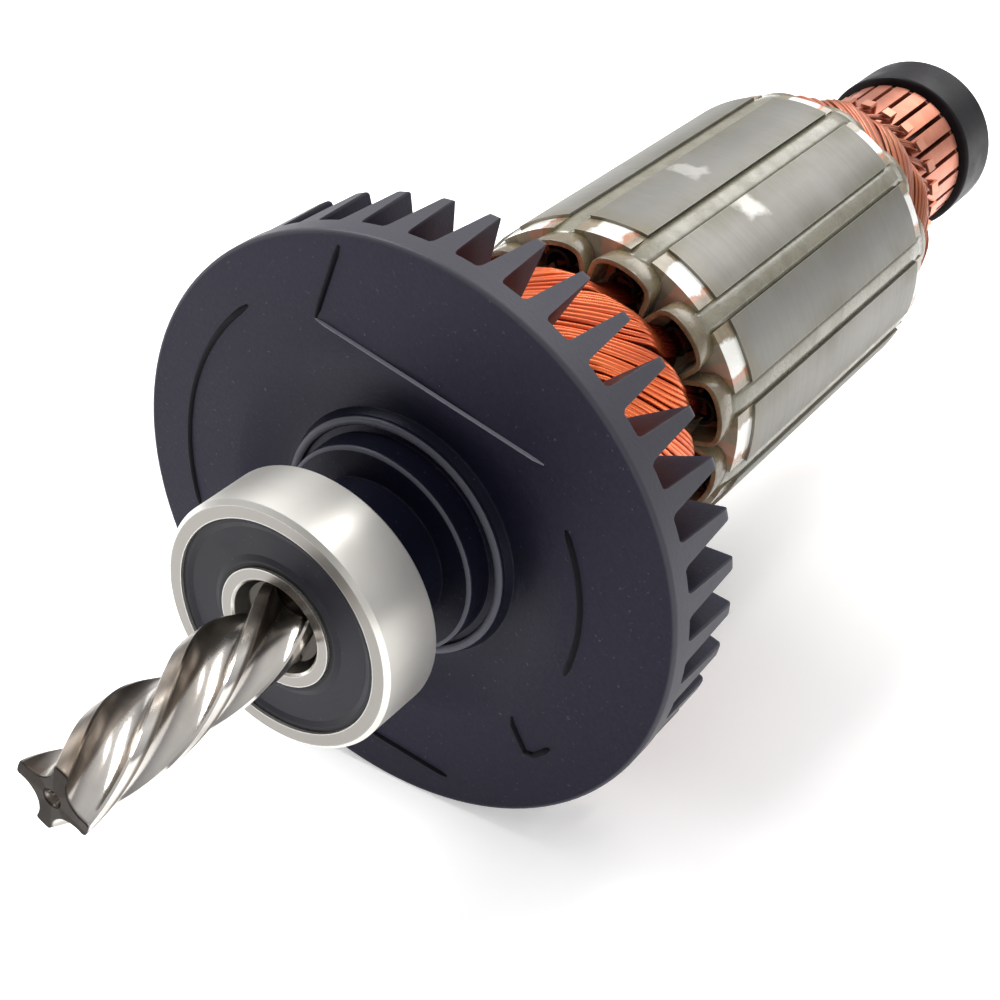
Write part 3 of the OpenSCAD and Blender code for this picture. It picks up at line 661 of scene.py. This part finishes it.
def make_beside_slots():
    """How far a point is from the middle of the nearest slot and to which side, in mm round the axis."""
    group, start, end = new_group("beside_slots", {"Slot clock": SLOT_CLOCK}, ("Distance mm", "Side"))
    at = find_place(group)
    from_slot = calculate(group, "SUBTRACT", find_clock(group, at), start["Slot clock"])
    wrapped = calculate(group, "WRAP", from_slot, PITCH / 2, -PITCH / 2)
    arc_mm = times(group, times(group, wrapped, math.pi / 180 / MM), at.radius)
    set_sockets(group, end, {"Distance mm": calculate(group, "ABSOLUTE", arc_mm), "Side": arc_mm})
    return group


beside_slots = make_beside_slots()


def ground_patch(tree, spot, clock, along_mm, size_mm):
    """A soft-edged spot on the stack's surface at a clock angle and a station."""
    x, along, z = point_at(stack_high.x / MM, math.radians(clock), along_mm)
    away = add_node(tree, "ShaderNodeVectorMath", {0: spot, 1: (x, along, z)}, operation="DISTANCE")
    ragged = spread_between(tree, cloud(tree, spot, 420.0, 3.0), 0.3, 0.7, -0.9 * MM, 0.9 * MM)
    edge = plus(tree, away.outputs["Value"], ragged)
    return fade_out(tree, edge, size_mm * 0.55 * MM, size_mm * MM, 0.75)


def make_stack_steel():
    material, tree, shader = new_finish("ground_sheet_steel", Roughness=0.5, Metallic=0.9)
    at = find_place(tree)
    film = place_group(tree, smudges, Patches_per_mm=0.1, Specks_per_mm=1.5)
    streaks = place_group(tree, turning_marks, Rings_per_mm=1.6, Waviness=2.5)
    slots = place_group(tree, beside_slots)
    wear = place_group(tree, worn_edges, Width_mm=0.15, Patchiness=0.4)
    sheets = times(tree, at.along, 2 / MM)
    seam = fade_out(tree, calculate(tree, "PINGPONG", sheets, 0.5), 0.0, 0.12)
    ragged = spread_between(tree, film["Patches"], 0.0, 1.0, 0.35, 1.0)
    near_slot = fade_out(tree, slots["Distance mm"], 1.2, 3.6)
    varnish = times(tree, times(tree, near_slot, ragged), 0.75)
    near_front = fade_out(tree, at.along, stack_low.y + 0.2 * MM, stack_low.y + 2.6 * MM, 0.6)
    patches = calculate(
        tree, "MAXIMUM",
        ground_patch(tree, at.spot, 25.5, 63.6, 2.3), ground_patch(tree, at.spot, 1.6, 64.2, 1.9),
    )
    patches = times(tree, patches, spread_between(tree, film["Patches"], 0.0, 1.0, 0.5, 1.0))
    steel = mix_colours(tree, film["Patches"], (0.275, 0.267, 0.245), (0.243, 0.235, 0.213))
    steel = mix_colours(tree, seam, steel, (0.20, 0.20, 0.19), 0.10)
    steel = mix_colours(tree, varnish, steel, (0.19, 0.185, 0.14))
    steel = mix_colours(tree, times(tree, near_front, ragged), steel, (0.24, 0.20, 0.13))
    steel = mix_colours(tree, patches, steel, (0.72, 0.70, 0.66))
    steel = mix_colours(tree, wear["Mask"], steel, (0.62, 0.61, 0.58), 0.5)
    rough = spread_between(tree, streaks["Mask"], 0.3, 0.7, 0.44, 0.56)
    feed(tree, shader, steel, plus(tree, rough, times(tree, varnish, 0.1)))
    raise_by(tree, shader, calculate(tree, "SUBTRACT", streaks["Height"], seam), 0.008, 0.35)
    return material


finish_nodes(make_stack_steel(), "lamination_stack")

# ------------------------------------------------------------------ end insulators
# White moulded spiders on both ends of the stack, which keep the wire off the teeth. They are shiny
# with varnish, clean on each tooth's outside and stained brown towards the slots.


def make_insulator_resin():
    material, tree, shader = new_finish(
        "white_insulator_resin", Roughness=0.16, Coat_Weight=0.6, Coat_Roughness=0.06
    )
    film = place_group(tree, smudges, Patches_per_mm=0.45, Specks_per_mm=2.0)
    slots = place_group(tree, beside_slots)
    ragged = times(tree, film["Patches"], 0.7)
    past_slot = plus(tree, slots["Distance mm"], ragged)
    end_face = fade_in(tree, find_facing(tree), 0.6, 0.9, 0.85)
    stained = calculate(tree, "MAXIMUM", fade_out(tree, past_slot, 2.9, 3.3), end_face)
    tan = mix_colours(tree, film["Patches"], (0.30, 0.25, 0.16), (0.20, 0.15, 0.09))
    one_side = fade_out(tree, slots["Side"], -2.3, -1.9)
    tan = mix_colours(tree, one_side, tan, (0.47, 0.21, 0.115), 0.9)
    resin = mix_colours(tree, stained, (0.90, 0.89, 0.84), tan)
    feed(tree, shader, resin, spread_between(tree, film["Patches"], 0.0, 1.0, 0.12, 0.3))
    raise_by(tree, shader, film["Patches"], 0.06, 0.5)
    return material


finish_nodes(make_insulator_resin(), "front_end_insulator", "rear_end_insulator")

# ------------------------------------------------------------------ slot papers and wedges
# Folded varnished paper lines each slot, painted near black as the shade it lies in. At the ends it stands
# out as a stiff tan arch over the wires. Over a wedge, also painted near black as shade, a strip of
# pressboard fills each slot's mouth.

FRONT_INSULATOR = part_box("front_end_insulator")[0].y
REAR_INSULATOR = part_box("rear_end_insulator")[1].y


def make_varnished_paper(name, light, dark):
    material, tree, shader = new_finish(name, Roughness=0.3, Coat_Weight=0.5, Coat_Roughness=0.12)
    film = place_group(tree, smudges, Patches_per_mm=0.5, Specks_per_mm=2.2)
    wear = place_group(tree, worn_edges, Width_mm=0.12, Patchiness=0.5)
    paper = mix_colours(tree, film["Patches"], light, dark)
    paper = mix_colours(tree, film["Specks"], paper, (0.05, 0.04, 0.03), 0.5)
    paper = mix_colours(tree, wear["Mask"], paper, (0.10, 0.08, 0.05), 0.6)
    feed(tree, shader, paper, spread_between(tree, film["Patches"], 0.0, 1.0, 0.22, 0.42))
    raise_by(tree, shader, film["Patches"], 0.08, 0.5)
    return material


slot_paper = make_varnished_paper("varnished_slot_paper", (0.205, 0.168, 0.10), (0.11, 0.082, 0.045))
pressboard = make_varnished_paper("varnished_pressboard", (0.235, 0.22, 0.16), (0.165, 0.15, 0.10))
# Painted shade: the liners and wedges are near black
shade_black_paper = new_finish(
    "shade_black_liner_paper", Roughness=0.6, Specular_IOR_Level=0.1, Base_Color=(0.005, 0.004, 0.003, 1)
)[0]
finish_nodes(shade_black_paper, "slot_liners", "slot_wedges")


def at_slot(number, radius_mm, sideways_mm, along):
    """A point at a slot: its distance from the axis and to the side of the slot's middle."""
    turn = math.radians(SLOT_CLOCK + number * PITCH)
    x = radius_mm * math.sin(turn) + sideways_mm * math.cos(turn)
    z = radius_mm * math.cos(turn) - sideways_mm * math.sin(turn)
    return (x * MM, along, z * MM)


def arch_section(half_width, rise):
    """The outline of one arch, outside and back along the inside, as (radius, sideways) in mm."""
    foot_radius, crown_radius, wall, steps = 12.6, 14.9, 0.55, 14
    turns = [math.pi * i / steps for i in range(steps + 1)]

    def half_ring(half, up):
        bow = [(crown_radius + up * math.sin(turn) ** 0.8, -half * math.cos(turn)) for turn in turns]
        return [(foot_radius, -half)] + bow + [(foot_radius, half)]

    return half_ring(half_width, rise) + half_ring(half_width - wall, rise - wall)[::-1]


def stand_arches(name, stations, flare):
    """Arches of paper over every slot between stations, opening a little towards the last one."""
    half_width, rise, last = 3.25, 2.05, len(stations) - 1
    vertices, faces = [], []
    rng = random.Random(7)
    for number in range(SLOTS):
        lean = rng.uniform(-0.12, 0.12)
        reach = rng.uniform(-0.25, 0.25)
        first = len(vertices)
        for i, station in enumerate(stations):
            share = i / last
            section = arch_section(half_width + flare * share, rise + 0.3 * flare * share)
            for radius_mm, sideways_mm in section:
                along = station + reach * share * MM
                vertices.append(at_slot(number, radius_mm, sideways_mm + lean * share, along))
        wide = len(section)
        join_rings(faces, first, last + 1, wide)
        for i in (0, last):
            for k in range(wide // 2 - 1):
                a = first + i * wide + k
                b = first + i * wide + wide - 1 - k
                faces.append((a, b, b - 1, a + 1) if i == 0 else (a, a + 1, b - 1, b))
    piece = link_piece(name, vertices, faces, [slot_paper])
    soften = piece.modifiers.new("soft_edges", "BEVEL")
    soften.width = 0.05 * MM
    soften.segments = 2
    soften.limit_method = "ANGLE"


front_stations = [FRONT_INSULATOR - out * MM for out in (-0.02, 1.2, 2.6)]
rear_stations = [REAR_INSULATOR + out * MM for out in (-0.02, 0.9, 1.8)]
stand_arches("front_paper_arches", front_stations, 0.25)
stand_arches("rear_paper_arches", rear_stations, 0.2)


def fill_mouths():
    """The strip of pressboard that shows in each slot's mouth. Its ends stand out and sink a little."""
    foot, half, edge, shoulder, crown = 16.2, 1.2, 17.23, 17.34, 17.38
    section = [(foot, -half), (edge, -half), (shoulder, -half / 2), (crown, 0.0),
               (shoulder, half / 2), (edge, half), (foot, half)]
    steps, sink = 40, 0.12
    start, end = FRONT_INSULATOR - 0.9 * MM, REAR_INSULATOR + 0.6 * MM
    vertices, faces = [], []
    for number in range(SLOTS):
        first = len(vertices)
        for i in range(steps + 1):
            along = start + (end - start) * i / steps
            outside = max(stack_low.y - along, along - stack_high.y, 0.0) / MM
            for radius_mm, sideways_mm in section:
                vertices.append(at_slot(number, radius_mm - sink * outside, sideways_mm, along))
        join_rings(faces, first, steps + 1, len(section))
        close_ends(faces, first, steps + 1, len(section))
    link_piece("slot_mouth_strips", vertices, faces, [pressboard])


fill_mouths()

# ------------------------------------------------------------------ insulating tube
# A thin tube of varnished resin between the shaft and the stack. It shows only between the fan and
# the winding, and behind the rear winding.

tube_resin = make_patchy(
    "varnished_tube_resin", (0.30, 0.22, 0.14), (0.17, 0.11, 0.065), roughness=0.4,
    patches_per_mm=0.3, specks_per_mm=2.0, depth_mm=0.02, strength=0.4,
)
finish_nodes(tube_resin, "shaft_insulation_tube")

# ------------------------------------------------------------------ front end winding
# Enamelled copper wire half a millimetre thick, wound by machine. From each slot a flat bundle comes
# out under its arch, spreads, and runs round in front of the stack over the bundle before it.

WIRE_RADIUS = 0.27
TUBE_RADIUS = 6.1
COIL_TOP = 13.85


def blend(share):
    """A smooth step from 0 to 1."""
    held = min(1.0, max(0.0, share))
    return held * held * (3 - 2 * held)


def bundle_radius(share, hold, outer_radius):
    """Radius of a bundle's crown along its way from the slot to the winding's end face, in mm."""
    sink, end_face_radius = 0.2, 9.8
    rise_share, dive_start, dive_share = 0.24, 0.66, 0.34
    climb = (outer_radius - COIL_TOP + sink) * blend((share - hold) / rise_share)
    dive = (outer_radius - end_face_radius) * max(0.0, (share - dive_start) / dive_share) ** 2.2
    return COIL_TOP - sink + climb - dive


def bundle_hollow(share, across):
    """How far a bundle's surface drops from its crown towards its edges, in mm."""
    first_depth, lost_depth, flat_from = 3.0, 1.9, 0.4
    depth = first_depth - lost_depth * blend(share / flat_from)
    return depth * (1 - math.sqrt(max(0.0, 1 - 0.94 * (2 * across - 1) ** 2)))


def sweep_wire(vertices, faces, tones_and_shades, route, sides, shades):
    """A round wire along a route of points in mm, with a tone of enamel and its painted shade at each
    point.
    """
    first = len(vertices)
    for i, point in enumerate(route):
        ahead = (route[min(i + 1, len(route) - 1)] - route[max(i - 1, 0)]).normalized()
        outward = Vector((point.x, 0, point.z)).normalized()
        side = ahead.cross(outward).normalized()
        up = side.cross(ahead)
        for k in range(sides):
            turn = 2 * math.pi * k / sides
            spot = point + (side * math.cos(turn) + up * math.sin(turn)) * WIRE_RADIUS
            vertices.append(spot * MM)
            tones_and_shades.append(shades[i])
    join_rings(faces, first, len(route), sides)
    close_ends(faces, first, len(route), sides)


def link_wires(name, vertices, faces, tones_and_shades, materials, node):
    """A mesh of wires, with the tone of enamel and its painted shade kept at each point, in place of the
    solid.
    """
    piece = link_piece(name, vertices, faces, materials)
    marks = piece.data.attributes.new("wire_tone_and_shade", "FLOAT", "POINT")
    marks.data.foreach_set("value", tones_and_shades)
    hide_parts(node)
    return piece


def wind_end(name, start, way, length, hold_mm, outer_radius, lay, materials, node, seed):
    """All bundles of one end of the winding, laid over a core painted dark as the shade that fills the room
    under them.

    They leave the stack at start, way is -1 to the front and 1 to the rear, and each goes straight out
    for hold_mm. Lay is how far a bundle turns round the shaft until the winding's end, in degrees.
    """
    rng = random.Random(seed)
    vertices, faces, tones_and_shades = [], [], []
    hold = hold_mm / length

    def at(number, across, share, lift):
        turned = lay * share ** 1.25
        turn = math.radians(SLOT_CLOCK + number * PITCH + (across - 0.5) * PITCH + turned)
        radius = bundle_radius(share, hold, outer_radius) - bundle_hollow(share, across) + lift
        radius = max(radius, TUBE_RADIUS + 0.4)
        return Vector((radius * math.sin(turn), start / MM + way * length * share, radius * math.cos(turn)))

    wires, steps, under, over = 10, 26, -0.95, -0.42
    for number in range(SLOTS):
        shade = rng.uniform(0.0, 1.0)
        for layer, lift in enumerate((under, over)):
            for wire in range(wires):
                even = (wire + 0.5 + 0.5 * layer) / (wires + 0.5)
                drift = rng.uniform(-0.05, 0.05)
                sway, phase = rng.uniform(0.0, 0.022), rng.uniform(0, 2 * math.pi)
                height = rng.uniform(-0.12, 0.10)
                route = []
                for i in range(steps + 1):
                    share = i / steps
                    gathered = 0.5 + (even - 0.5) * (0.5 + 0.5 * blend(share / 0.45))
                    across = gathered + drift * share + sway * math.sin(5 * share + phase)
                    slack = height * blend(share / 0.2) + 0.1 * layer * blend(share / 0.3)
                    route.append(at(number, min(0.985, max(0.015, across)), share, lift + slack))
                # Painted shade: the under layer is darker, and each wire starts near black where it leaves
                # the slot under its arch
                tone_and_under_shade = 0.4 + 0.35 * shade + 0.25 * rng.random() if layer else 0.12 + 0.1 * rng.random()
                shades = [tone_and_under_shade * blend((i / steps - 0.03) / 0.16) for i in range(steps + 1)]
                sweep_wire(vertices, faces, tones_and_shades, route, 7, shades)
    wire_faces = len(faces)

    # The core, painted dark as shade: rings under the bundles, then two at the tube, which close it into
    # one ring-shaped body
    points_each, rings, core_lift = 7, 14, -1.25
    round_points, rows = points_each * SLOTS, rings + 3
    first = len(vertices)
    for i in range(rings + 1):
        for k in range(round_points):
            number, step = divmod(k, points_each)
            vertices.append(at(number, (step + 0.5) / points_each, i / rings, core_lift) * MM)
    for share in (1.0, 0.0):
        for k in range(round_points):
            clock = SLOT_CLOCK + (k + 0.5) * 360 / round_points - PITCH / 2 + lay * share
            along = start / MM + way * length * share
            vertices.append(point_at(TUBE_RADIUS + 0.08, math.radians(clock), along))
    tones_and_shades += [0.0] * (rows * round_points)
    for i in range(rows):
        shift = round(lay * round_points / 360) % round_points if i == rows - 2 else 0
        this, following = first + i * round_points, first + ((i + 1) % rows) * round_points
        for k in range(round_points):
            a, b = this + k, this + (k + 1) % round_points
            c, d = following + (k + shift) % round_points, following + (k + 1 + shift) % round_points
            faces.append((a, c, d, b) if way < 0 else (a, b, d, c))
    piece = link_wires(name, vertices, faces, tones_and_shades, materials, node)
    kinds = [0] * wire_faces + [1] * (len(faces) - wire_faces)
    piece.data.polygons.foreach_set("material_index", kinds)


def make_wire_enamel(name, deep, bright, gloss):
    material, tree, shader = new_finish(
        name, Roughness=gloss, Metallic=0.75, Coat_Weight=0.3, Coat_Roughness=0.1
    )
    tone_and_shade = add_node(tree, "ShaderNodeAttribute", attribute_name="wire_tone_and_shade").outputs["Fac"]
    film = place_group(tree, smudges, Patches_per_mm=0.25, Specks_per_mm=3.0)
    enamel = mix_colours(tree, fade_in(tree, tone_and_shade, 0.3, 1.0), deep, bright)
    # Painted shade: low values of the mark go to near black
    enamel = mix_colours(tree, fade_in(tree, tone_and_shade, 0.0, 0.3), (0.03, 0.006, 0.004), enamel)
    enamel = mix_colours(tree, film["Patches"], enamel, (0.42, 0.045, 0.02), 0.35)
    feed(tree, shader, enamel, spread_between(tree, film["Patches"], 0.0, 1.0, gloss, gloss + 0.14))
    raise_by(tree, shader, film["Patches"], 0.02, 0.3)
    return material


def make_winding_core(name, colour):
    return make_patchy(
        name, colour, tuple(channel * 0.4 for channel in colour), roughness=0.7,
        patches_per_mm=0.8, specks_per_mm=3.0, depth_mm=0.1, strength=0.5,
    )


front_enamel = make_wire_enamel("orange_wire_enamel", (0.50, 0.055, 0.025), (0.95, 0.22, 0.055), 0.26)
# The core is painted dark as the shade under the bundles
front_shade_core = make_winding_core("red_core_painted_shade", (0.11, 0.012, 0.010))
front_low, front_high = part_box("front_end_winding")
wind_end(
    "front_winding_wires", front_high.y, -1, (front_high.y - front_low.y) / MM, 1.9, 16.2, -540 / 7,
    [front_enamel, front_shade_core], "front_end_winding", 11,
)

# ------------------------------------------------------------------ coil sides
# The straight runs of wire inside the slots, seen only where a slot is open at its end. They are
# soaked in varnish and look dark red.

finish_nodes(make_winding_core("varnished_coil_copper", (0.16, 0.03, 0.02)), "coil_sides")

# ------------------------------------------------------------------ rear end winding and leads
# The other end of the same wires, browner with varnish. From its end face a pair of wires goes to
# the hook of each commutator bar.

BARS = 24
BAR_CLOCK = 4.0
BAR_RADIUS = 9.4
rear_enamel = make_wire_enamel("brown_wire_enamel", (0.21, 0.068, 0.034), (0.44, 0.165, 0.082), 0.38)
# The core is painted dark as the shade under the bundles
rear_shade_core = make_winding_core("brown_core_painted_shade", (0.10, 0.03, 0.018))
rear_low, rear_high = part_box("rear_end_winding")
wind_end(
    "rear_winding_wires", rear_low.y, 1, (rear_high.y - rear_low.y) / MM, 2.0, 14.6, -60.0,
    [rear_enamel, rear_shade_core], "rear_end_winding", 23,
)


def lead_pairs():
    """Two wires to each hook, side by side, swung round as they come from the winding."""
    vertices, faces, tones_and_shades = [], [], []
    rng = random.Random(5)
    start, end = rear_high.y / MM - 0.6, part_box("commutator_leads")[1].y / MM
    swing, apart_by, end_radius, steps = 24.0, 1.6, BAR_RADIUS + 0.5, 12
    for bar in range(BARS):
        for side in (-1, 1):
            from_radius = 9.6 + rng.uniform(-0.3, 0.5)
            spread = rng.uniform(0.6, 1.6)
            route = []
            for i in range(steps + 1):
                share = i / steps
                apart = side * apart_by * (spread * (1 - share) + share)
                turn = math.radians(BAR_CLOCK + bar * 360 / BARS - swing * (1 - share) + apart)
                bow = 0.5 * math.sin(math.pi * share)
                radius = from_radius + (end_radius - from_radius) * blend(share) + bow
                along = start + (end - start) * share
                route.append(Vector((radius * math.sin(turn), along, radius * math.cos(turn))))
            shades = [0.3 + 0.7 * rng.random()] * (steps + 1)
            sweep_wire(vertices, faces, tones_and_shades, route, 8, shades)
    link_wires(
        "commutator_lead_wires", vertices, faces, tones_and_shades, [rear_enamel],
        "commutator_leads",
    )


lead_pairs()

# ------------------------------------------------------------------ commutator
# Copper bars in a moulded core, turned true after the wires were fused under the hooks. The track is
# salmon pink with fine lines, and the gaps and the ends are darker.


def make_bar_copper():
    material, tree, shader = new_finish("turned_bar_copper", Roughness=0.3, Metallic=0.85)
    radius = find_place(tree).radius
    marks = place_group(tree, turning_marks, Rings_per_mm=3.5, Waviness=0.1)
    film = place_group(tree, smudges, Patches_per_mm=0.3, Specks_per_mm=2.0)
    hook = fade_in(tree, radius, (BAR_RADIUS + 0.1) * MM, (BAR_RADIUS + 0.5) * MM)
    deep = fade_out(tree, radius, (BAR_RADIUS - 1.2) * MM, (BAR_RADIUS - 0.15) * MM)
    copper = mix_colours(tree, film["Patches"], (0.68, 0.26, 0.165), (0.54, 0.19, 0.115))
    copper = mix_colours(tree, hook, copper, (0.70, 0.31, 0.20))
    copper = mix_colours(tree, deep, copper, (0.42, 0.125, 0.07))
    feed(tree, shader, copper, spread_between(tree, marks["Mask"], 0.3, 0.7, 0.26, 0.42))
    raise_by(tree, shader, marks["Height"], 0.01, 0.5)
    return material


def make_hub_resin():
    material, tree, shader = new_finish("brown_hub_resin", Roughness=0.45)
    film = place_group(tree, smudges, Patches_per_mm=0.4, Specks_per_mm=2.5)
    resin = mix_colours(tree, film["Patches"], (0.22, 0.085, 0.052), (0.15, 0.06, 0.04))
    feed(tree, shader, mix_colours(tree, film["Specks"], resin, (0.2, 0.14, 0.1)))
    raise_by(tree, shader, film["Patches"], 0.03, 0.4)
    return material


finish_nodes(make_bar_copper(), "commutator_bars")
finish_nodes(make_hub_resin(), "commutator_hub")

# ------------------------------------------------------------------ rear bearing's sleeve
# A ring of soft black rubber, pushed on the rear bearing, which beds it in the housing. Its outside
# is smooth and a little dusty.


def make_sleeve_rubber():
    material, tree, shader = new_finish("soft_sleeve_rubber", Roughness=0.4, Specular_IOR_Level=0.14)
    film = place_group(tree, smudges, Patches_per_mm=0.25, Specks_per_mm=2.0)
    wear = place_group(tree, worn_edges, Width_mm=0.25, Patchiness=0.5)
    black = mix_colours(tree, film["Patches"], (0.009, 0.008, 0.009), (0.015, 0.013, 0.015))
    black = mix_colours(tree, film["Specks"], black, (0.09, 0.09, 0.09), 0.4)
    black = mix_colours(tree, wear["Mask"], black, (0.10, 0.10, 0.10), 0.25)
    feed(tree, shader, black, spread_between(tree, film["Patches"], 0.0, 1.0, 0.34, 0.5))
    raise_by(tree, shader, film["Patches"], 0.02, 0.3)
    return material


finish_nodes(make_sleeve_rubber(), "rear_bearing_sleeve")
